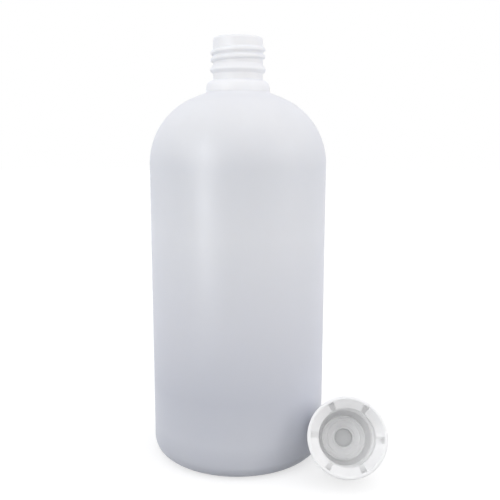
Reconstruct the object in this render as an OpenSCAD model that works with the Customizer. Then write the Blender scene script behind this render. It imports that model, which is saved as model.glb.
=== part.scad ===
// Round one-litre alcohol bottle in natural plastic, open, with its white screw cap.
// The bottle stands on z = 0 with its axis on Z. The cap is off the neck: it leans back on the
// bottle's wall, front right, with its open mouth to the front (-Y).

/* [Bottle body] */
// Outside diameter of the round body
body_d = 89.6; // [78:0.2:110]
// Height from the standing ring to the rim of the neck
bottle_h = 212.9; // [170:0.1:260]
// Wall thickness of the blown body
wall = 1.1; // [0.7:0.1:2]
// Radius of the domed shoulder
shoulder_r = 35.5; // [25:0.5:38]
// Slope of the shoulder where it meets the collar, in degrees
shoulder_slope = 22; // [15:1:30]
// Radius of the rounded corner round the base
base_corner_r = 7.5; // [4:0.5:12]
// Thickness of the base
base_t = 1.6; // [1:0.1:3]
// Width of the flat ring that the bottle stands on
foot_w = 3.5; // [2:0.5:6]
// Height of the shallow dome under the base
push_up = 3.5; // [1:0.5:6]

/* [Collar and neck] */
// Diameter of the plain neck, under the thread
neck_d = 24.9; // [22:0.1:28]
// Wall thickness of the neck
neck_wall = 1.35; // [1:0.05:2]
// Height of the neck from the collar to the rim
neck_h = 20.9; // [19.5:0.1:24]
// Radius on the outside edge of the rim
rim_r = 1.2; // [0.3:0.1:1.3]
// How far the collar stands out from the neck
collar_step = 3.3; // [2:0.05:5]
// Height of the collar
collar_h = 5.8; // [4:0.1:10]
// Radius on the top edge of the collar
collar_r = 3; // [0.5:0.1:3.4]
// How much wider in radius the collar is at its foot than at its rounded top edge
collar_flare = 0.35; // [0.2:0.05:1]
// Wall thickness of the hollow collar
collar_wall = 2.2; // [1.5:0.1:2.6]

/* [Thread and bead] */
// Pitch of the thread
pitch = 3.4; // [3:0.1:4]
// Height of the thread over the neck
thread_depth = 1.25; // [0.8:0.05:1.4]
// Width of the thread at its root
thread_w = 2.9; // [2:0.1:3]
// Turns of thread on the neck
neck_turns = 1.8; // [1:0.1:1.9]
// Distance from the rim down to the upper end of the thread
thread_drop = 5.3; // [4.5:0.1:6]
// Angle round the neck where the thread begins, in degrees
thread_start = 120; // [0:5:355]
// Height of the tamper bead over the neck
bead_depth = 1.6; // [1:0.05:2]
// Distance from the rim down to the crest of the bead
bead_drop = 15.7; // [15.2:0.1:17]
// Height of the bead's upper flank
bead_up = 2.8; // [1.8:0.1:3]
// Height of the bead's lower flank
bead_down = 1.9; // [1.6:0.1:2.6]
// Radius on the crest of the bead
bead_r = 1; // [0.6:0.1:1.2]

/* [Cap] */
// Thickness of the cap's skirt outside its thread, at the closed end
cap_wall = 3.4; // [2.4:0.1:5]
// How much wider in radius the cap is at its mouth than at its closed end
cap_flare = 1.5; // [0.5:0.1:2.5]
// Thickness of the cap's closed end
cap_top_t = 2; // [1.2:0.1:3]
// Radius on the edge of the closed end
cap_edge_r = 1.2; // [0.5:0.1:1.6]
// Radius on the two edges of the mouth
lip_r = 0.5; // [0.2:0.05:0.6]
// Gap between the cap's mouth and the collar when the cap is screwed down
mouth_gap = 0.6; // [0.3:0.1:1.2]
// Clearance between the two threads, in radius
thread_gap = 0.35; // [0.2:0.05:0.5]
// Clearance between the cap's thread and the plain neck, in radius
crest_gap = 0.5; // [0.3:0.05:0.6]
// How much narrower the cap's thread is than the neck's
thread_slack = 0.3; // [0.2:0.05:0.6]
// Turns of thread in the cap
cap_turns = 1.6; // [1:0.1:1.6]
// Height of the cone that leads from the band down to the thread
lead_h = 1.2; // [0.8:0.1:1.6]
// Distance from the slit down to the wide end of that cone
lead_drop = 0.4; // [0.3:0.1:0.6]

/* [Seal] */
// Clearance between the plug and the bore of the neck, in radius
plug_gap = 0.15; // [0.05:0.05:0.4]
// Height of the plug over the inside of the closed end
plug_h = 2.2; // [1:0.1:3]
// Radius of the low ring on the face of the plug
ring_r = 8; // [7:0.1:9]
// Radius of the lip round the recess in the middle of the plug
recess_lip_r = 5.4; // [5:0.1:6]
// Radius of the recess in the middle of the plug
recess_r = 4.3; // [3:0.1:4.6]
// Depth of the recess
recess_h = 2; // [0.4:0.1:2.2]

/* [Tamper band] */
// Height of the band from the slit to the mouth
band_h = 6; // [5:0.1:7]
// Wall thickness of the band
band_wall = 1.6; // [1:0.1:2]
// Height of the slit that parts the band from the skirt
slit = 0.3; // [0.2:0.05:0.5]
// Number of small bridges that hold the band across the slit
bridges = 10; // [6:1:16]
// Width of a bridge
bridge_w = 1.6; // [0.8:0.1:2.4]
// Number of flaps inside the band
flaps = 6; // [4:1:8]
// Share of the circle that the flaps take between them
flap_share = 0.84; // [0.5:0.01:0.9]
// Thickness of a flap
flap_t = 1; // [0.6:0.1:1.2]
// How far under the bead's middle the flaps' tips lie once the cap is screwed on
flap_drop = 1.1; // [1:0.1:1.6]
// How far the flaps reach in under the bead
catch = 0.5; // [0.3:0.05:1]

/* [Cap at rest] */
// How far the cap leans back from upright, in degrees
lean = 25; // [18:0.5:35]
// Angle round the bottle, from the front, where the cap leans on it, in degrees
rest_angle = 53; // [40:1:70]
// Turn of the cap's mouth to the left of the front, in degrees
yaw = 3; // [-5:1:10]
// Turn of the cap about its own axis, in degrees
spin = 86; // [0:1:360]
// Gap left between the cap and the bottle where they touch
rest_gap = 0.05; // [0.02:0.01:0.2]

/* [Hidden] */
$fn = 96;

body_r = body_d / 2;
neck_r = neck_d / 2;
bore_r = neck_r - neck_wall;
collar_top = bottle_h - neck_h;
collar_foot = collar_top - collar_h;
collar_out = neck_r + collar_step;
collar_in = collar_out - collar_wall;

// The shoulder is an arc off the body's wall, then a cone of the given slope to the collar.
shoulder_turn = 90 - shoulder_slope;
shoulder_x = body_r - shoulder_r;
shoulder_end = collar_out + collar_flare;
shoulder_cone = (shoulder_x + shoulder_r * cos(shoulder_turn) - shoulder_end) * tan(shoulder_slope);
shoulder_z = collar_foot - shoulder_cone - shoulder_r * sin(shoulder_turn);

// The dome under the base is part of a sphere that meets the inside of the standing ring.
dome_edge = body_r - base_corner_r - foot_w;
dome_r = (pow(dome_edge, 2) + pow(push_up, 2)) / (2 * push_up);

bead_out = neck_r + bead_depth;
bead_z = bottle_h - bead_drop;
thread_out = neck_r + thread_depth;
neck_thread_top = bottle_h - thread_drop;
neck_thread_low = neck_thread_top - neck_turns * pitch;

// Sizes of the cap, in its own frame: its closed end is at z = 0 and its mouth at z = cap_h.
cap_h = cap_top_t + neck_h - mouth_gap;
cap_root = thread_out + thread_gap;
cap_crest = neck_r + crest_gap;
cap_end_r = cap_root + cap_wall;
cap_mouth_r = cap_end_r + cap_flare;
slit_z = cap_h - band_h;
band_in = cap_mouth_r - band_wall;
lead_z = slit_z - lead_drop;
cap_thread_z = cap_top_t + thread_drop;
plug_r = bore_r - plug_gap;
flap_tip = bead_out - catch;
flap_tip_z = cap_top_t + bead_drop + flap_drop;
flap_end_z = cap_h - lip_r;
flap_angle = flap_share * 360 / flaps;

// Angle between two rings of a thread's points, the angle over which an end of it fades out,
// and the share of its height at the very end, under the surface
thread_step = 8;
fade = 40;
end_share = -0.2;
// How far the corners of a thread's band stand off the round surface
band_off = 0.04;
// How far pieces of one section run into each other, in mm and in degrees
overlap = 1;

// Points of a circle's sector, wide enough to cut the arc out of a disc of radius r.
function sector(r, a0, a1) = [
    [0, 0],
    for (i = [0:4]) 2 * r * [cos(a0 + (a1 - a0) * i / 4), sin(a0 + (a1 - a0) * i / 4)]
];

// Where the tangent from point p meets a circle of radius r round the origin.
function tangent_point(p, r, side) =
    let (a = atan2(p[1], p[0]) + side * acos(r / norm(p)))
    r * [cos(a), sin(a)];

// Share of its full height that the thread has at turn angle a, of total all. At its two ends
// it dives under the surface.
function thread_share(a, all) =
    end_share + (1 - end_share) * sin(90 * min(1, a / fade, (all - a) / fade));

// One side of the thread's section: shares of its height and of its half width. The first
// point lies under the surface that the thread stands on.
thread_side = [[-0.3, 1.16], [0.5, 0.72], [0.88, 0.42], [1, 0.16]];
thread_section = concat(
    thread_side,
    [for (i = [len(thread_side) - 1:-1:0]) [thread_side[i][0], -thread_side[i][1]]]
);

// The section's points at one angle, its height over the root cut to a share.
function thread_ring(root, depth, width, angle, z, share) = [
    for (s = thread_section)
        let (r = root + s[0] * depth * (s[0] > 0 ? share : 1))
        [r * cos(angle), r * sin(angle), z + s[1] * width / 2]
];

function thread_steps(turns) = round(turns * 360 / thread_step);

// A right-hand thread of so many turns from height z up. With a depth under zero it stands
// inwards from the root, as in the cap.
module thread(root, depth, width, turns, start, z) {
    steps = thread_steps(turns);
    n = len(thread_section);
    rings = [
        for (i = [0:steps])
            let (a = i * thread_step)
            thread_ring(root, depth, width, start + a, z + pitch * a / 360,
                thread_share(a, steps * thread_step))
    ];
    points = [for (ring = rings) for (p = ring) p];
    sides = [
        for (i = [0:steps - 1]) for (j = [0:n - 1])
            let (k = (j + 1) % n)
            [i * n + j, (i + 1) * n + j, (i + 1) * n + k, i * n + k]
    ];
    first = [for (j = [0:n - 1]) j];
    last = [for (j = [n - 1:-1:0]) steps * n + j];
    outward = concat(sides, [first, last]);
    inward = [for (face = outward) [for (i = [len(face) - 1:-1:0]) face[i]]];
    polyhedron(points, depth > 0 ? outward : inward);
}

// The flat-sided band that a thread stands on, with a corner at each of the thread's rings.
module thread_band(r, start, low, high) {
    translate([0, 0, low]) linear_extrude(high - low)
        polygon([for (a = [0:thread_step:359]) r * [cos(start + a), sin(start + a)]]);
}

// Half section of the body up to the collar, drawn in by inset.
module body_section(inset) {
    corner_x = body_r - base_corner_r;
    arc_x = shoulder_x + (shoulder_r - inset) * cos(shoulder_turn);
    arc_z = shoulder_z + (shoulder_r - inset) * sin(shoulder_turn);
    cone_x = inset > 0 ? collar_in : shoulder_end;
    cone_z = arc_z + (arc_x - cone_x) * tan(shoulder_slope);
    translate([0, inset]) square([corner_x, base_corner_r + overlap]);
    translate([corner_x, base_corner_r]) circle(base_corner_r - inset);
    translate([0, base_corner_r]) square([body_r - inset, shoulder_z - base_corner_r]);
    translate([shoulder_x, shoulder_z]) intersection() {
        circle(shoulder_r - inset);
        polygon(sector(shoulder_r, -overlap, shoulder_turn + overlap));
    }
    polygon([
        [0, shoulder_z - overlap],
        [shoulder_x + overlap, shoulder_z - overlap],
        [arc_x, arc_z],
        [cone_x, cone_z],
        [0, cone_z]
    ]);
}

// Outside of the neck: the collar, the plain neck, its rounded rim and the tamper bead.
module neck_section() {
    polygon([
        [0, collar_foot - collar_flare],
        [collar_out + collar_flare, collar_foot],
        [collar_out, collar_top - collar_r],
        [0, collar_top - collar_r]
    ]);
    square([collar_out - collar_r, collar_top]);
    translate([collar_out - collar_r, collar_top - collar_r]) circle(collar_r);
    square([neck_r, bottle_h - rim_r]);
    square([neck_r - rim_r, bottle_h]);
    translate([neck_r - rim_r, bottle_h - rim_r]) circle(rim_r);
    translate([bead_out - bead_r, bead_z]) bead_section();
}

module bead_section() {
    foot = neck_r - (bead_out - bead_r);
    circle(bead_r);
    polygon([
        [foot, bead_up],
        tangent_point([foot, bead_up], bead_r, -1),
        tangent_point([foot, -bead_down], bead_r, 1),
        [foot, -bead_down],
        [foot - neck_wall / 2, 0]
    ]);
}

// The hollow: the body's inside, the inside of the collar and the bore of the neck.
module cavity_section() {
    ledge_z = collar_top - collar_wall;
    neck_in_z = ledge_z + collar_in - bore_r;
    difference() {
        body_section(wall);
        square([body_r, base_t]);
        translate([0, push_up - dome_r]) circle(dome_r + base_t);
    }
    translate([0, shoulder_z]) polygon([
        [0, 0],
        [collar_in, 0],
        [collar_in, ledge_z - shoulder_z - collar_wall / 2],
        [bore_r, neck_in_z - shoulder_z - collar_wall / 2],
        [0, neck_in_z - shoulder_z - collar_wall / 2]
    ]);
    translate([0, shoulder_z]) square([bore_r, bottle_h - shoulder_z + 1]);
}

module right_half() {
    intersection() {
        children();
        translate([0, -1]) square([body_d, bottle_h + 3]);
    }
}

module bottle() color([0.88, 0.9, 0.93]) {
    difference() {
        union() {
            rotate_extrude() right_half() union() {
                body_section(0);
                neck_section();
            }
            thread_band(neck_r + band_off, thread_start, neck_thread_low - thread_w / 2,
                neck_thread_top + thread_w / 2);
            thread(neck_r + band_off, thread_depth, thread_w, neck_turns, thread_start,
                neck_thread_low);
        }
        rotate_extrude() right_half() cavity_section();
        rotate_extrude() right_half() translate([0, push_up - dome_r]) circle(dome_r);
    }
}

// Outside of the cap, from the rounded closed end out to the lip of the mouth.
module cap_outside() {
    side = [cap_flare, cap_h];
    rise = cap_flare / norm(side);
    run = cap_h / norm(side);
    low = [cap_end_r - cap_edge_r, cap_edge_r] + cap_edge_r * [run, -rise];
    high = [cap_mouth_r - lip_r, cap_h - lip_r] + lip_r * [run, -rise];
    translate([cap_end_r - cap_edge_r, cap_edge_r]) circle(cap_edge_r);
    translate([cap_mouth_r - lip_r, cap_h - lip_r]) circle(lip_r);
    polygon([
        [0, 0],
        [cap_end_r - cap_edge_r, 0],
        low,
        high,
        [cap_mouth_r - lip_r, cap_h],
        [0, cap_h]
    ]);
}

// The hollow of the cap from the lead-in cone to the mouth.
module cap_hollow() {
    polygon([
        [0, lead_z - lead_h],
        [cap_root, lead_z - lead_h],
        [band_in - band_wall / 2, lead_z],
        [band_in, lead_z + lead_drop / 2],
        [band_in, cap_h - lip_r],
        [band_in + lip_r, cap_h],
        [band_in + lip_r, cap_h + 1],
        [0, cap_h + 1]
    ]);
}

// Half section of the plug, with its low ring, the lip of its recess and the recess.
module plug_section() {
    edge = 0.4;
    lip = 0.45;
    dish = 0.5;
    top = cap_top_t + plug_h;
    difference() {
        union() {
            square([plug_r - edge, top]);
            square([plug_r, top - edge]);
            translate([plug_r - edge, top - edge]) circle(edge);
        }
        translate([0, top - dish]) square([plug_r - 2 * edge, plug_h]);
        translate([0, top - dish - recess_h]) square([recess_r, plug_h]);
    }
    translate([ring_r, top - dish]) circle(lip / 2);
    translate([recess_lip_r - lip, top - dish]) circle(lip);
}

module flap() {
    out = band_in + band_wall / 2;
    rotate([0, 0, -flap_angle / 2]) rotate_extrude(angle = flap_angle) polygon([
        [out, flap_end_z],
        [out, flap_end_z - 1.4 * flap_t],
        [flap_tip, flap_tip_z],
        [flap_tip, flap_tip_z + flap_t]
    ]);
}

// The cut between skirt and band, less the bridges.
module slit_ring() {
    difference() {
        rotate_extrude()
            translate([cap_root, slit_z]) square([cap_mouth_r, slit]);
        for (i = [0:bridges - 1])
            rotate([0, 0, i * 360 / bridges])
                translate([0, -bridge_w / 2, slit_z - slit])
                    cube([band_in + band_wall / 2, bridge_w, 3 * slit]);
    }
}

// The cap in its own frame.
module cap_shape() {
    difference() {
        rotate_extrude() difference() {
            intersection() {
                cap_outside();
                square([cap_mouth_r, cap_h]);
            }
            cap_hollow();
        }
        slit_ring();
        thread_band(cap_root - band_off, 0, cap_top_t, lead_z);
    }
    rotate_extrude() intersection() {
        plug_section();
        square([cap_root, cap_h]);
    }
    for (i = [0:flaps - 1]) rotate([0, 0, i * 360 / flaps]) flap();
    thread(cap_root - band_off, cap_crest - cap_root, thread_w - thread_slack, cap_turns, 0,
        cap_thread_z);
}

// The cap touches the floor and the wall with the rounded edge of its closed end. Seen from
// above, the middle line of that edge is an ellipse, long by edge_a and short by edge_b.
edge_a = cap_end_r - cap_edge_r;
edge_b = edge_a * sin(lean);
touch = [sin(rest_angle), -cos(rest_angle)];
across = [cos(yaw), -sin(yaw)];
back = [sin(yaw), cos(yaw)];
reach = norm([edge_a * touch * across, edge_b * touch * back]);
edge_plan = (body_r + rest_gap + cap_edge_r) * touch
    + (pow(edge_a, 2) * (touch * across) * across + pow(edge_b, 2) * (touch * back) * back) / reach;
cap_foot = edge_plan + cap_edge_r * cos(lean) * back;
cap_lift = edge_a * cos(lean) + cap_edge_r * (1 - sin(lean));

module screw_cap() color([0.96, 0.96, 0.96])
    translate([cap_foot[0], cap_foot[1], cap_lift])
        rotate([90 - lean, 0, -yaw])
            rotate([0, 0, spin])
                cap_shape();

bottle();
screw_cap();
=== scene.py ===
import math

import bpy
from mathutils import Matrix, Vector


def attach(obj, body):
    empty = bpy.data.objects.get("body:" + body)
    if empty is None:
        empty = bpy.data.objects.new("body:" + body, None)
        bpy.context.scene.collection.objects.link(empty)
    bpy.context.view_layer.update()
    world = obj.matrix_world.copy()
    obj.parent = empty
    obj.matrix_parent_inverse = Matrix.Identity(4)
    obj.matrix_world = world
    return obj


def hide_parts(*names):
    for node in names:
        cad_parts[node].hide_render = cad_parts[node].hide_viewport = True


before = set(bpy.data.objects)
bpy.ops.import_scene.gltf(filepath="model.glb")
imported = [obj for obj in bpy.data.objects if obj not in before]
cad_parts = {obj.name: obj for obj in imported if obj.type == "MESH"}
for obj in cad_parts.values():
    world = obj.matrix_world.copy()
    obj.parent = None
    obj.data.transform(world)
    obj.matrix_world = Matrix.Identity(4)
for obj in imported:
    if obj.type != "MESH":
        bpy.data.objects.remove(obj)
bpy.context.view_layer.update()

# Sizes of the part are in millimetres, as on the real object, and MM turns them into metres.
# Angles are in degrees.
MM = 0.001
BODY = "root"

# Bottle body
BODY_R = 44.8
BOTTLE_H = 212.9
WALL = 1.1
SHOULDER_R = 35.5
SHOULDER_SLOPE = 22
SHOULDER_TURN = 90 - SHOULDER_SLOPE
BASE_CORNER_R = 7.5
BASE_T = 1.6
FOOT_W = 3.5
PUSH_UP = 3.5

# The ring that the bottle stands on, and the dome that is pushed up inside it
CORNER_X = BODY_R - BASE_CORNER_R
DOME_EDGE = CORNER_X - FOOT_W
DOME_R = (DOME_EDGE ** 2 + PUSH_UP ** 2) / (2 * PUSH_UP)
DOME_MID = Vector((0, PUSH_UP - DOME_R))

# Collar and neck
NECK_R = 12.45
BORE_R = 11.1
RIM_R = 1.2
BORE_EDGE_R = 0.12
COLLAR_TOP = 192.0
COLLAR_H = 5.8
COLLAR_OUT = 15.75
COLLAR_R = 3.0
COLLAR_FLARE = 0.35
COLLAR_IN = 13.55
COLLAR_WALL = 2.2
COLLAR_FOOT_FILLET = 1.1
NECK_FOOT_FILLET = 0.5
INNER_FILLET = 0.8

# Bead on the neck, and the plain lengths of neck under and over it
BEAD_OUT = 14.05
BEAD_Z = 197.2
BEAD_R = 1.0
BEAD_UP = 2.8
BEAD_DOWN = 1.9
BEAD_FILLET = 0.5
PLAIN_UNDER_BEAD = 0.6
PLAIN_OVER_BEAD = 0.5

# Thread on the neck. Its flank runs between two shares of half its width.
PITCH = 3.4
THREAD_DEPTH = 1.25
THREAD_W = 2.9
NECK_TURNS = 1.8
NECK_THREAD_LOW = 201.48
THREAD_START = 120
THREAD_FADE = 40
FLANK_TOP = 0.3
FLANK_FOOT = 1.08

# Lines that the blow mould leaves: its parting line at both sides, with extra columns of
# points at these angles beside it, and the pinch-off below
SEAM_H = 0.08
SEAM_W = 0.35
SEAM_COLUMNS = (0.22, 0.45, 0.8)
PINCH_H = 0.35
PINCH_W = 0.9
PINCH_END = 27.0
PINCH_FADE = 3.0

# Cap, in its own frame: the closed end is at z = 0 and the mouth at z = CAP_H
CAP_H = 22.3
CAP_END_R = 17.45
CAP_MOUTH_R = 18.95
CAP_EDGE_R = 1.2
LIP_R = 0.5
CAP_ROOT = 14.05
CAP_THREAD_DEPTH = 1.1
CAP_THREAD_W = 2.6
CAP_TURNS = 1.6
CAP_THREAD_LOW = 7.3
CAP_TOP_T = 2.0
LEAD_LOW = 14.7
LEAD_Z = 15.9
LEAD_TOP = 16.1
GATE_R = 1.6
GATE_H = 0.35

# Tamper band, and the slit and bridges between it and the skirt
BAND_IN = 17.35
BAND_WALL = 1.6
SLIT_Z = 16.3
SLIT = 0.3
SLIT_EDGE_R = 0.12
BRIDGES = 10
BRIDGE_W = 1.6
BRIDGE_INSET = 0.15
BRIDGE_BEVEL = 0.1

# Flaps inside the tamper band, which grow thicker from tip to root
FLAPS = 6
FLAP_ANGLE = 50.4
FLAP_T = 1.0
FLAP_TIP = 13.55
FLAP_TIP_Z = 18.8
FLAP_END_Z = 21.8
FLAP_ROOT_GROWTH = 1.4
FLAP_TIP_FILLET = 0.3
FLAP_ROOT_FILLET = 0.1
FLAP_BEVEL = 0.25

# Plug inside the cap
PLUG_R = 10.95
PLUG_TOP = 4.2
PLUG_EDGE = 0.4
DISH = 0.5
PLUG_FACE = PLUG_TOP - DISH
RING_R = 8.0
RING_W = 0.45
LIP_X = 4.95
LIP_W = 0.9
RECESS_R = 4.3
RECESS_H = 2.0

# The painted shade on the floor of the recess: from above the gate to below the plug's face, and
# its radius
RECESS_SHADE_LOW = GATE_H + 0.5
RECESS_SHADE_HIGH = PLUG_FACE - 0.3
RECESS_SHADE_R = RECESS_R + 0.1

# The cap at rest: it leans back on the bottle's wall, mouth to the front
LEAN = 25
YAW = 3
SPIN = 86
CAP_PLACE = (52.342, -29.326, 15.420)

# How finely the meshes are divided: columns, angles along arcs, and distances between rows
COLUMNS = 192
ARC_STEP = 9
FINE_ARC_STEP = 1
SHOULDER_STEP = 3
INNER_SHOULDER_STEP = 4
CORNER_STEP = 6
CREST_STEP = 12
BORE_EDGE_STEP = 15
BLOCK_STEP = 3.0
OUTSIDE_ROWS = 4
INSIDE_ROWS = 6
CAP_ROWS = 1.5
NECK_THREAD_ROWS = 0.15
CAP_THREAD_ROWS = 0.14

# Distances that count as none, and half the angle of a corner too straight for a fillet
TINY = 1e-4
SAME_POINT = 1e-3
NEAR_ROOT = 0.01
NEARLY_STRAIGHT = 89

# Edges over these angles are kept sharp
BOTTLE_SHARP = 50
CAP_SHARP = 35

# Colour of the milky plastic from the bottle's foot, at 0, to its rim, at 1. Its steps hold
# painted
# shading: darker towards the foot is painted shade, as from light falling from above, and the
# lighter neck and collar are partly the thicker, whiter plastic and partly painted light.
MILKY_AND_PAINTED_SHADING = (
    (0.0, (0.55, 0.565, 0.61)),
    (0.08, (0.66, 0.675, 0.725)),
    (0.18, (0.625, 0.64, 0.695)),
    (0.35, (0.745, 0.757, 0.81)),
    (0.55, (0.845, 0.86, 0.905)),
    (0.70, (0.80, 0.818, 0.862)),
    (0.80, (0.855, 0.864, 0.89)),
    (0.86, (0.875, 0.88, 0.90)),
    (0.895, (0.985, 0.98, 0.98)),
)
MILKY_CLOUD = (0.72, 0.72, 0.74, 1)
MILKY_CLOUD_SHARE = 0.1
COAT_TINT = (0.972, 0.976, 0.988, 1)

# Colours of the white plastic: its own, that of its faint clouds and the painted shade on the
# floor of the recess
WHITE = (0.93, 0.93, 0.93, 1)
WHITE_CLOUD = (0.91, 0.913, 0.913, 1)
WHITE_RECESS_SHADE = (0.72, 0.725, 0.725, 1)

# The values that noise mostly lies between, for clouds and for roughness
CLOUD_RANGE = (0.35, 0.65)
ROUGH_RANGE = (0.3, 0.7)

# From here on lengths are in metres and powers in watts.
GRAIN_DEPTH = 0.00004
PEEL_DEPTH = 0.00012

# Floor: its glow changes between two distances from the bottle
FLOOR_REACH = 4.0
FLOOR_GREY = (0.45, 0.45, 0.45, 1)
FLOOR_NEAR = 0.15
FLOOR_FAR = 0.9
FLOOR_LIFT_NEAR = 0.62
FLOOR_LIFT_FAR = 0.66

# World light, which grows from the horizon to the top
WORLD_COLOR = (0.985, 0.985, 1.0, 1)
WORLD_LOW = 0.84
WORLD_HIGH = 1.0

# Round lamps: name, place, target, width, power and colour
LAMPS = (
    ("key", (-0.72, -0.45, 0.50), (0, 0, 0.11), 0.8, 1.8, (0.97, 0.99, 1)),
    ("fill", (0.75, -0.35, 0.35), (0, 0, 0.10), 0.6, 1.5, (1, 0.985, 0.97)),
)

# Upright strip lamp
STREAK_PLACE = (-0.242, -0.293, 0.19)
STREAK_TARGET = (0, 0, 0.17)
STREAK_W = 0.06
STREAK_H = 0.30
STREAK_POWER = 0.75

# Spot on the neck
SPOT_PLACE = (-0.06, -0.90, 0.30)
SPOT_TARGET = (0, 0, 0.201)
SPOT_POWER = 1.9
SPOT_ANGLE = 4.5
SPOT_SOFT = 0.12

# Camera: its sensor and lens are in millimetres
CAMERA_PLACE = (0, -0.3403, 0.160)
CAMERA_TURN = (81.0, -0.1, -1.02)
SENSOR = 36.0
LENS = 47.47
CLIP_START = 0.01


# Outlines

def polar(radius, degrees):
    a = math.radians(degrees)
    return Vector((radius * math.cos(a), radius * math.sin(a)))


def arc(centre, radius, start, end, step=ARC_STEP):
    """Points along an arc between two angles."""
    count = max(2, math.ceil(abs(end - start) / step))
    return [
        Vector(centre) + polar(radius, start + (end - start) * i / count)
        for i in range(count + 1)
    ]


def fillet(before, corner, after, radius):
    """The arc that rounds a corner between its two neighbours."""
    corner = Vector(corner)
    to_before = (Vector(before) - corner).normalized()
    to_after = (Vector(after) - corner).normalized()
    half = to_before.angle(to_after) / 2
    if radius <= 0 or half > math.radians(NEARLY_STRAIGHT):
        return [corner]
    centre = corner + (to_before + to_after).normalized() * (radius / math.sin(half))
    reach = radius / math.tan(half)
    start = corner + to_before * reach - centre
    end = corner + to_after * reach - centre
    first = math.degrees(math.atan2(start.y, start.x))
    return arc(centre, radius, first, first - math.degrees(start.angle_signed(end)))


def rounded(corners, closed=False):
    """A line through (x, z, radius) corners, each rounded by its radius."""
    points = []
    last = len(corners) - 1
    for i, (x, z, radius) in enumerate(corners):
        if not closed and i in (0, last):
            points.append(Vector((x, z)))
            continue
        before, after = corners[i - 1], corners[(i + 1) % len(corners)]
        points += fillet(before[:2], (x, z), after[:2], radius)
    return points


def dense(points, step):
    """The same line with extra points, so that none are further apart than step."""
    out = [points[0]]
    for p, q in zip(points, points[1:]):
        gap = (q - p).length
        if gap < TINY:
            continue
        count = max(1, math.ceil(gap / step))
        out += [p.lerp(q, i / count) for i in range(1, count + 1)]
    return out


def smoothstep(low, high, x):
    t = min(1, max(0, (x - low) / (high - low)))
    return t * t * (3 - 2 * t)


def soft_line(distance, width):
    """1 on a line of this width, and falling softly beside it."""
    return math.exp(-(distance / (width / 2)) ** 2)


# Meshes, each as a list of points in millimetres and a list of faces

def even_angles(count):
    return [360 * i / count for i in range(count)]


def shell(outline, angles, relief=None):
    """The mesh of an outline of (r, z) turned about Z. A point of the outline on the axis is
    one vertex. A closed outline gives a ring."""
    points, faces = [], []
    closed = (outline[0] - outline[-1]).length < TINY
    rows = []
    for r, z in outline[:-1] if closed else outline:
        first = len(points)
        if r < TINY:
            points.append((0, 0, z))
            rows.append([first] * len(angles))
            continue
        for a in angles:
            rr, zz = relief(r, z, a) if relief else (r, z)
            points.append((*polar(rr, a), zz))
        rows.append(list(range(first, first + len(angles))))
    if closed:
        rows.append(rows[0])
    for low, high in zip(rows, rows[1:]):
        for j in range(len(angles)):
            k = (j + 1) % len(angles)
            face = [low[j], low[k], high[k], high[j]]
            faces.append([v for i, v in enumerate(face) if v != face[i - 1]])
    return points, faces


def add_block(mesh, outline, start, end, bevel):
    """Adds a closed outline of (r, z) swept round Z between two angles, its ends eased."""
    points, faces = mesh
    middle = sum(outline, Vector((0, 0))) / len(outline)
    reach = max((p - middle).length for p in outline)
    ease = math.degrees(bevel / middle.x)
    count = max(2, math.ceil((end - start) / BLOCK_STEP))
    inner = [start + ease + (end - start - 2 * ease) * i / count for i in range(count + 1)]
    stops = [(start, 1 - bevel / reach)] + [(a, 1) for a in inner] + [(end, 1 - bevel / reach)]
    rows = []
    for a, share in stops:
        first = len(points)
        for p in outline:
            r, z = middle + (p - middle) * share
            points.append((*polar(r, a), z))
        rows.append(list(range(first, first + len(outline))))
    n = len(outline)
    for low, high in zip(rows, rows[1:]):
        faces += [[low[i], high[i], high[(i + 1) % n], low[(i + 1) % n]] for i in range(n)]
    faces.append(rows[0])
    faces.append(rows[-1][::-1])


def blocks(outline, count, width, bevel):
    """The mesh of equal blocks spread evenly round Z, each this many degrees wide."""
    mesh = ([], [])
    for a in even_angles(count):
        add_block(mesh, outline, a - width / 2, a + width / 2, bevel)
    return mesh


def thread_height(angle, z, low, turns, start, depth, width):
    """How far a right-hand thread stands off its root at one angle and height."""
    best = 0
    turn = (angle - start) % 360
    while turn <= turns * 360:
        gap = abs(z - low - PITCH * turn / 360) / (width / 2)
        if gap < FLANK_FOOT:
            fade = min(1, turn / THREAD_FADE, (turns * 360 - turn) / THREAD_FADE)
            share = math.sin(math.radians(90 * fade))
            best = max(best, share * depth * (1 - smoothstep(FLANK_TOP, FLANK_FOOT, gap)))
        turn += 360
    return best


# Objects

def add_object(name, data):
    """A new object of this data, linked into the scene."""
    added = bpy.data.objects.new(name, data)
    bpy.context.scene.collection.objects.link(added)
    return added


def smooth(data, sharp):
    """Makes a mesh smooth, with edges over an angle kept sharp."""
    data.polygons.foreach_set("use_smooth", [True] * len(data.polygons))
    data.set_sharp_from_angle(angle=math.radians(sharp))


def make_piece(name, mesh, sharp):
    """A smooth object of a mesh."""
    points, faces = mesh
    data = bpy.data.meshes.new(name)
    data.from_pydata([Vector(p) * MM for p in points], [], faces)
    data.validate()
    smooth(data, sharp)
    return add_object(name, data)


def join_solid(piece, other):
    """Adds another closed solid to a piece, so that no face is left inside."""
    union = piece.modifiers.new("join", "BOOLEAN")
    union.operation = "UNION"
    union.solver = "MANIFOLD"
    union.object = other
    graph = bpy.context.evaluated_depsgraph_get()
    joined = bpy.data.meshes.new_from_object(piece.evaluated_get(graph))
    piece.modifiers.clear()
    old, piece.data = piece.data, joined
    bpy.data.meshes.remove(old)
    bpy.data.objects.remove(other)


# Bottle

def bead_outline():
    """The tamper bead: two flanks that meet its round crest as tangents."""
    centre = Vector((BEAD_OUT - BEAD_R, BEAD_Z))
    foot_up = Vector((NECK_R, BEAD_Z + BEAD_UP))
    foot_down = Vector((NECK_R, BEAD_Z - BEAD_DOWN))

    def tangent(foot, side):
        away = foot - centre
        return math.degrees(math.atan2(away.y, away.x) + side * math.acos(BEAD_R / away.length))

    crest = arc(centre, BEAD_R, tangent(foot_down, 1), tangent(foot_up, -1), CREST_STEP)
    return foot_down, crest, foot_up


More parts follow.
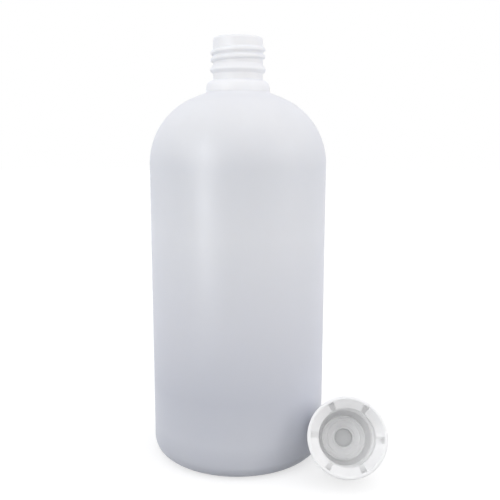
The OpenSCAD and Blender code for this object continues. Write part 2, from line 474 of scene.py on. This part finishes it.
def shoulder_centre():
    """Centre of the shoulder's arc, from which its slope runs up to the collar's foot."""
    x = BODY_R - SHOULDER_R
    end = polar(SHOULDER_R, SHOULDER_TURN)
    foot_x = COLLAR_OUT + COLLAR_FLARE
    rise = (x + end.x - foot_x) * math.tan(math.radians(SHOULDER_SLOPE))
    return Vector((x, COLLAR_TOP - COLLAR_H - rise - end.y))


def outside_line():
    """From the middle of the underside up to the rim."""
    dome_turn = math.degrees(math.asin(DOME_EDGE / DOME_R))
    line = arc(DOME_MID, DOME_R, 90, 90 - dome_turn, FINE_ARC_STEP)
    line += arc((CORNER_X, BASE_CORNER_R), BASE_CORNER_R, -90, 0, CORNER_STEP)
    line += arc(shoulder_centre(), SHOULDER_R, 0, SHOULDER_TURN, SHOULDER_STEP)
    line += rounded([
        (*line[-1], 0),
        (COLLAR_OUT + COLLAR_FLARE, COLLAR_TOP - COLLAR_H, COLLAR_FOOT_FILLET),
        (COLLAR_OUT, COLLAR_TOP, COLLAR_R),
        (NECK_R, COLLAR_TOP, NECK_FOOT_FILLET),
        (NECK_R, BEAD_Z - BEAD_DOWN - PLAIN_UNDER_BEAD, 0),
    ])[1:]
    foot_down, crest, foot_up = bead_outline()
    line += fillet((NECK_R, foot_down.y - 1), foot_down, crest[0], BEAD_FILLET)
    line += crest
    line += fillet(crest[-1], foot_up, (NECK_R, foot_up.y + 1), BEAD_FILLET)
    thread_zone = [
        Vector((NECK_R, foot_up.y + PLAIN_OVER_BEAD)),
        Vector((NECK_R, BOTTLE_H - RIM_R)),
    ]
    return dense(line, OUTSIDE_ROWS) + dense(thread_zone, NECK_THREAD_ROWS)


def rim_line():
    line = arc((NECK_R - RIM_R, BOTTLE_H - RIM_R), RIM_R, 0, 90)[1:]
    bore_edge = (BORE_R + BORE_EDGE_R, BOTTLE_H - BORE_EDGE_R)
    return line + arc(bore_edge, BORE_EDGE_R, 90, 180, BORE_EDGE_STEP)


def inside_line():
    """From the rim down the bore to the middle of the floor."""
    shoulder = shoulder_centre()
    shoulder_in = SHOULDER_R - WALL
    cone_top = shoulder + polar(shoulder_in, SHOULDER_TURN)
    cone_rise = (cone_top.x - COLLAR_IN) * math.tan(math.radians(SHOULDER_SLOPE))
    ledge_z = COLLAR_TOP - COLLAR_WALL
    line = rounded([
        (BORE_R, BOTTLE_H - 2 * BORE_EDGE_R, 0),
        (BORE_R, ledge_z + COLLAR_IN - BORE_R - COLLAR_WALL / 2, INNER_FILLET),
        (COLLAR_IN, ledge_z - COLLAR_WALL / 2, INNER_FILLET),
        (COLLAR_IN, cone_top.y + cone_rise, INNER_FILLET),
        (*cone_top, 0),
    ])[:-1]
    line += arc(shoulder, shoulder_in, SHOULDER_TURN, 0, INNER_SHOULDER_STEP)
    corner_in = BASE_CORNER_R - WALL
    corner_turn = math.degrees(math.asin((BASE_CORNER_R - BASE_T) / corner_in))
    line += arc((CORNER_X, BASE_CORNER_R), corner_in, 0, -corner_turn)
    floor_r = DOME_R + BASE_T
    floor_x = math.sqrt(floor_r ** 2 - (BASE_T - DOME_MID.y) ** 2)
    floor_turn = math.degrees(math.asin(floor_x / floor_r))
    line += arc(DOME_MID, floor_r, 90 - floor_turn, 90, FINE_ARC_STEP)
    return dense(line, INSIDE_ROWS)


def bottle_outline():
    """Half section of the whole bottle, over the rim and down to its floor."""
    line = outside_line() + rim_line() + inside_line()
    return [p for i, p in enumerate(line) if i == 0 or (p - line[i - 1]).length > SAME_POINT]


def bottle_angles():
    """Even columns, with some more close to the two parting lines."""
    extra = [side + sign * a for side in (0, 180) for sign in (-1, 1) for a in SEAM_COLUMNS]
    return sorted(a % 360 for a in even_angles(COLUMNS) + extra)


def make_bottle():
    outline = bottle_outline()
    rim_top = max(range(len(outline)), key=lambda i: outline[i].y)
    outer = {(p.x, p.y) for p in outline[:rim_top]}

    def relief(r, z, angle):
        """Adds the pinch-off, the parting line and the thread to the outside."""
        if (r, z) not in outer:
            return r, z
        side = math.radians(abs((angle + 90) % 180 - 90))
        if z < BASE_CORNER_R / 2:
            share = soft_line(r * math.sin(side), PINCH_W)
            share *= 1 - smoothstep(PINCH_END - PINCH_FADE, PINCH_END, r)
            return r, z - PINCH_H * share
        r += SEAM_H * soft_line(side * r, SEAM_W) - SEAM_H
        if z > BEAD_Z + BEAD_UP:
            r += thread_height(angle, z, NECK_THREAD_LOW, NECK_TURNS, THREAD_START,
                THREAD_DEPTH, THREAD_W)
        return r, z

    return make_piece("bottle_shell", shell(outline, bottle_angles(), relief), BOTTLE_SHARP)


# Cap

def wall_r(z):
    """Radius of the cap's drafted outside at a height: a line that touches both edge arcs."""
    side = Vector((CAP_MOUTH_R - CAP_END_R, CAP_H)).normalized()
    out = Vector((side.y, -side.x))
    low = Vector((CAP_END_R - CAP_EDGE_R, CAP_EDGE_R)) + CAP_EDGE_R * out
    high = Vector((CAP_MOUTH_R - LIP_R, CAP_H - LIP_R)) + LIP_R * out
    return low.x + (high.x - low.x) * (z - low.y) / (high.y - low.y)


def skirt_outline():
    """The cap below the slit, with its closed end and the plug. It starts and ends on the axis."""
    corners = [
        # The closed end, with the gate mark in its middle
        (0, GATE_H, 0),
        (GATE_R, GATE_H, 0.15),
        (GATE_R + 0.3, 0, 0.15),
        (wall_r(0), 0, CAP_EDGE_R),
        # The slit and the lead-in, down to the wall that carries the thread
        (wall_r(SLIT_Z), SLIT_Z, SLIT_EDGE_R),
        (BAND_IN, SLIT_Z, SLIT_EDGE_R / 2),
        (BAND_IN, LEAD_TOP, 0.1),
        (BAND_IN - BAND_WALL / 2, LEAD_Z, 0.25),
        (CAP_ROOT, LEAD_LOW, 0.4),
        (CAP_ROOT, CAP_TOP_T, 0.5),
        # The plug, with its ring, its lip and the recess in its middle
        (PLUG_R, CAP_TOP_T, 0.4),
        (PLUG_R, PLUG_TOP, PLUG_EDGE),
        (PLUG_R - 2 * PLUG_EDGE, PLUG_TOP, PLUG_EDGE * 0.7),
        (PLUG_R - 2 * PLUG_EDGE - 0.2, PLUG_FACE, 0.3),
        (RING_R + RING_W, PLUG_FACE, 0.25),
        (RING_R, PLUG_FACE + RING_W / 2, 0.2),
        (RING_R - RING_W, PLUG_FACE, 0.25),
        (LIP_X + LIP_W / 2 + 0.3, PLUG_FACE, 0.4),
        (LIP_X + LIP_W / 4, PLUG_FACE + LIP_W / 2, 0.35),
        (LIP_X - LIP_W / 2, PLUG_FACE + LIP_W / 2, 0.35),
        (RECESS_R - 0.15, PLUG_FACE - RECESS_H, 0.35),
        (0, PLUG_FACE - RECESS_H, 0),
    ]
    return dense(rounded(corners), CAP_ROWS)


def on_root(r):
    """Whether a radius is that of the wall that the cap's thread stands on."""
    return abs(r - CAP_ROOT) < NEAR_ROOT


def fine_thread_rows(outline):
    """The same outline with close rows where the cap's thread stands."""
    out = []
    for p, q in zip(outline, outline[1:]):
        out += dense([p, q], CAP_THREAD_ROWS)[:-1] if on_root(p.x) and on_root(q.x) else [p]
    return out + [outline[-1]]


def band_outline():
    """The tamper band, from the slit to the mouth."""
    low = SLIT_Z + SLIT
    line = rounded([
        (BAND_IN, low, SLIT_EDGE_R),
        (wall_r(low), low, SLIT_EDGE_R),
        (wall_r(CAP_H), CAP_H, LIP_R),
        (BAND_IN, CAP_H, LIP_R),
    ], closed=True)
    return dense(line + [line[0]], CAP_ROWS)


def flap_outline():
    """A flap, from its tip to the middle of the band's wall."""
    root = BAND_IN + BAND_WALL / 2
    return rounded([
        (FLAP_TIP, FLAP_TIP_Z, FLAP_TIP_FILLET),
        (root, FLAP_END_Z - FLAP_ROOT_GROWTH * FLAP_T, FLAP_ROOT_FILLET),
        (root, FLAP_END_Z, FLAP_ROOT_FILLET),
        (FLAP_TIP, FLAP_TIP_Z + FLAP_T, FLAP_TIP_FILLET),
    ], closed=True)


def bridge_outline():
    """A bridge, which reaches half the slit's width into the skirt and into the band."""
    low, high = SLIT_Z - SLIT / 2, SLIT_Z + 1.5 * SLIT
    inner, outer = BAND_IN + BRIDGE_INSET, BAND_IN + BAND_WALL / 2
    return [Vector(c) for c in ((inner, low), (outer, low), (outer, high), (inner, high))]


def mark_recess_shade(cap):
    """Marks the floor of the recess, where shade is painted as a greyer colour."""
    recess_shade = cap.data.attributes.new("recess_shade", "FLOAT", "POINT")
    for vertex, item in zip(cap.data.vertices, recess_shade.data):
        x, y, z = vertex.co / MM
        item.value = 1.0 if RECESS_SHADE_LOW < z < RECESS_SHADE_HIGH and math.hypot(x, y) < RECESS_SHADE_R else 0.0


def make_cap():
    def relief(r, z, angle):
        """Stands the thread on the inside of the skirt."""
        if not on_root(r) or not CAP_TOP_T < z < LEAD_LOW:
            return r, z
        return r - thread_height(angle, z, CAP_THREAD_LOW, CAP_TURNS, 0,
            CAP_THREAD_DEPTH, CAP_THREAD_W), z

    columns = even_angles(COLUMNS)
    bridge_angle = math.degrees(BRIDGE_W / BAND_IN)
    cap = make_piece("cap", shell(fine_thread_rows(skirt_outline()), columns, relief), CAP_SHARP)
    for name, mesh in (
        ("band", shell(band_outline(), columns)),
        ("bridges", blocks(bridge_outline(), BRIDGES, bridge_angle, BRIDGE_BEVEL)),
        ("flaps", blocks(flap_outline(), FLAPS, FLAP_ANGLE, FLAP_BEVEL)),
    ):
        join_solid(cap, make_piece(name, mesh, CAP_SHARP))
    smooth(cap.data, CAP_SHARP)
    mark_recess_shade(cap)
    place = Matrix.Translation(Vector(CAP_PLACE) * MM)
    place @= Matrix.Rotation(math.radians(-YAW), 4, "Z")
    place @= Matrix.Rotation(math.radians(90 - LEAN), 4, "X")
    place @= Matrix.Rotation(math.radians(SPIN), 4, "Z")
    cap.data.transform(place)
    return cap


# Materials

class Nodes:
    """A short way to write a material's nodes."""

    def __init__(self, tree):
        self.tree = tree
        tree.nodes.clear()

    def set(self, socket, value):
        """Links a socket to another one, or gives it a value."""
        if isinstance(value, bpy.types.NodeSocket):
            self.tree.links.new(value, socket)
        else:
            socket.default_value = value

    def add(self, kind, inputs=None, **settings):
        node = self.tree.nodes.new(kind)
        for name, value in settings.items():
            setattr(node, name, value)
        for name, value in (inputs or {}).items():
            self.set(node.inputs[name], value)
        return node

    def place(self):
        """Where a point lies on its object, in metres."""
        return self.add("ShaderNodeTexCoord").outputs["Object"]

    def noise(self, vector, scale, detail=3.0):
        return self.add("ShaderNodeTexNoise", {"Vector": vector, "Scale": scale,
            "Detail": detail}).outputs["Fac"]

    def spread(self, value, low, high, to_low, to_high):
        """Maps the range from low to high onto the one from to_low to to_high."""
        return self.add("ShaderNodeMapRange", {"Value": value, "From Min": low,
            "From Max": high, "To Min": to_low, "To Max": to_high}).outputs["Result"]

    def mix(self, factor, first, second):
        """Mixes two colours. The sockets of this node go by number, as their names repeat."""
        node = self.add("ShaderNodeMix", data_type="RGBA")
        for index, value in ((0, factor), (6, first), (7, second)):
            self.set(node.inputs[index], value)
        return node.outputs[2]

    def greater(self, first, second):
        return self.add("ShaderNodeMath", {0: first, 1: second}, operation="MAXIMUM").outputs[0]

    def ramp(self, value, stops):
        node = self.add("ShaderNodeValToRGB", {"Fac": value})
        parts = node.color_ramp.elements
        while len(parts) < len(stops):
            parts.new(0.5)
        for part, (position, color) in zip(parts, stops):
            part.position = position
            part.color = (*color, 1)
        return node.outputs["Color"]


def new_material(name):
    material = bpy.data.materials.new(name)
    material.use_nodes = True
    return material, Nodes(material.node_tree)


def natural_plastic():
    """Milky blow-moulded plastic, faintly clouded, satin, its colour changing up the bottle with
    painted shading.
    """
    material, n = new_material("natural_plastic")
    place = n.place()
    height = n.add("ShaderNodeSeparateXYZ", {"Vector": place}).outputs["Z"]
    # Painted shading by height: painted shade towards the foot, and painted light on the neck and
    # collar.
    milky_and_shading = n.ramp(n.spread(height, 0, BOTTLE_H * MM, 0, 1), MILKY_AND_PAINTED_SHADING)
    stretched = n.add("ShaderNodeMapping", {"Vector": place, "Scale": (1, 1, 0.25)})
    clouds = n.noise(stretched.outputs["Vector"], scale=45)
    color = n.mix(n.spread(clouds, *CLOUD_RANGE, 0, MILKY_CLOUD_SHARE), milky_and_shading, MILKY_CLOUD)
    grain = n.noise(place, scale=2600, detail=2)
    peel = n.noise(place, scale=420, detail=2)
    rough = n.spread(n.noise(place, scale=60), *ROUGH_RANGE, 0.36, 0.46)
    bump = n.add("ShaderNodeBump", {"Height": grain, "Strength": 0.06, "Distance": GRAIN_DEPTH})
    bump = n.add("ShaderNodeBump", {"Height": peel, "Strength": 0.12, "Distance": PEEL_DEPTH,
        "Normal": bump.outputs["Normal"]})
    shader = n.add("ShaderNodeBsdfPrincipled", {
        "Base Color": color,
        "Roughness": rough,
        "IOR": 1.45,
        "Subsurface Weight": 0.7,
        "Subsurface Radius": (1.0, 1.03, 1.08),
        "Subsurface Scale": 0.0018,
        "Coat Weight": 1.0,
        "Coat Roughness": 0.4,
        "Coat IOR": 1.05,
        "Coat Tint": COAT_TINT,
        "Normal": bump.outputs["Normal"],
    })
    n.add("ShaderNodeOutputMaterial", {"Surface": shader.outputs["BSDF"]})
    return material


def white_plastic():
    """White injection-moulded plastic with a fine satin grain."""
    material, n = new_material("white_plastic")
    place = n.place()
    clouds = n.noise(place, scale=120)
    color = n.mix(n.spread(clouds, *CLOUD_RANGE, 0, 1), WHITE, WHITE_CLOUD)
    recess_shade = n.add("ShaderNodeAttribute", attribute_name="recess_shade").outputs["Fac"]
    # Painted shade: the floor of the recess is greyed where shade falls in it.
    color = n.mix(recess_shade, color, WHITE_RECESS_SHADE)
    rough = n.spread(n.noise(place, scale=300), *ROUGH_RANGE, 0.34, 0.44)
    grain = n.noise(place, scale=2400, detail=2)
    bump = n.add("ShaderNodeBump", {"Height": grain, "Strength": 0.08, "Distance": GRAIN_DEPTH})
    shader = n.add("ShaderNodeBsdfPrincipled", {
        "Base Color": color,
        "Roughness": rough,
        "IOR": 1.5,
        "Subsurface Weight": 1.0,
        "Subsurface Radius": (1.0, 1.0, 1.0),
        "Subsurface Scale": 0.0028,
        "Normal": bump.outputs["Normal"],
    })
    n.add("ShaderNodeOutputMaterial", {"Surface": shader.outputs["BSDF"]})
    return material


# Stage

def seen_ray(n):
    """1 for the rays that show the background: those of the camera, of gloss and of glass."""
    path = n.add("ShaderNodeLightPath").outputs
    shown = n.greater(path["Is Camera Ray"], path["Is Glossy Ray"])
    return n.greater(shown, path["Is Transmission Ray"])


def make_floor():
    """A pale floor that meets the white background without an edge and keeps the shadow."""
    far = FLOOR_REACH
    data = bpy.data.meshes.new("floor")
    data.from_pydata([(-far, -far, 0), (far, -far, 0), (far, far, 0), (-far, far, 0)],
        [], [(0, 1, 2, 3)])
    floor = add_object("floor", data)
    material, n = new_material("floor")
    away = n.add("ShaderNodeVectorMath", {0: n.place()}, operation="LENGTH").outputs["Value"]
    lift = n.spread(away, FLOOR_NEAR, FLOOR_FAR, FLOOR_LIFT_NEAR, FLOOR_LIFT_FAR)
    strength = n.add("ShaderNodeMath", {0: lift, 1: seen_ray(n)}, operation="MULTIPLY")
    glow = n.add("ShaderNodeEmission", {"Strength": strength.outputs[0]})
    plain = n.add("ShaderNodeBsdfDiffuse", {"Color": FLOOR_GREY})
    both = n.add("ShaderNodeAddShader", {0: glow.outputs[0], 1: plain.outputs[0]})
    n.add("ShaderNodeOutputMaterial", {"Surface": both.outputs[0]})
    data.materials.append(material)


def make_world():
    """White where it is seen, and a soft plain light from all round."""
    world = bpy.data.worlds.new("studio")
    world.use_nodes = True
    bpy.context.scene.world = world
    n = Nodes(world.node_tree)
    direction = n.add("ShaderNodeTexCoord").outputs["Generated"]
    up = n.add("ShaderNodeSeparateXYZ", {"Vector": direction}).outputs["Z"]
    level = n.spread(up, 0.0, 1.0, WORLD_LOW, WORLD_HIGH)
    light = n.add("ShaderNodeBackground", {"Color": WORLD_COLOR, "Strength": level})
    white = n.add("ShaderNodeBackground", {"Color": (1, 1, 1, 1), "Strength": 1.0})
    mixed = n.add("ShaderNodeMixShader", {0: seen_ray(n), 1: light.outputs[0],
        2: white.outputs[0]})
    n.add("ShaderNodeOutputWorld", {"Surface": mixed.outputs[0]})


def add_light(name, kind, place, target, power):
    """A light of this kind, aimed at a target."""
    data = bpy.data.lights.new(name, kind)
    data.energy = power
    light = add_object(name, data)
    light.location = place
    light.rotation_euler = (Vector(target) - Vector(place)).to_track_quat("-Z", "Y").to_euler()
    return light


def make_lamp(name, place, target, size, power, color):
    lamp = add_light(name, "AREA", place, target, power)
    lamp.data.shape = "DISK"
    lamp.data.size = size
    lamp.data.color = color


def make_streak():
    """A narrow upright lamp that only gloss shows, as a soft streak down the wall."""
    lamp = add_light("streak", "AREA", STREAK_PLACE, STREAK_TARGET, STREAK_POWER)
    lamp.data.shape = "RECTANGLE"
    lamp.data.size = STREAK_W
    lamp.data.size_y = STREAK_H
    lamp.visible_diffuse = False


def make_neck_light():
    """A soft spot from the front that fills the grooves of the thread and the collar."""
    lamp = add_light("neck_light", "SPOT", SPOT_PLACE, SPOT_TARGET, SPOT_POWER)
    lamp.data.spot_size = math.radians(SPOT_ANGLE)
    lamp.data.spot_blend = 1.0
    lamp.data.shadow_soft_size = SPOT_SOFT


def make_camera():
    """The photograph's camera: close to the bottle, a little above its middle, tipped down."""
    data = bpy.data.cameras.new("camera")
    data.sensor_width = SENSOR
    data.lens = LENS
    data.clip_start = CLIP_START
    camera = add_object("camera", data)
    camera.location = CAMERA_PLACE
    camera.rotation_euler = [math.radians(a) for a in CAMERA_TURN]
    bpy.context.scene.camera = camera


def dress(piece, material, node):
    """Gives a piece its material and its place in the frame."""
    piece.data.materials.clear()
    piece.data.materials.append(material)
    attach(piece, BODY)
    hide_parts(node)


bpy.context.scene.view_settings.view_transform = "Standard"
make_camera()
make_world()
make_floor()
for lamp in LAMPS:
    make_lamp(*lamp)
make_streak()
make_neck_light()
dress(make_bottle(), natural_plastic(), "bottle")
dress(make_cap(), white_plastic(), "screw_cap")
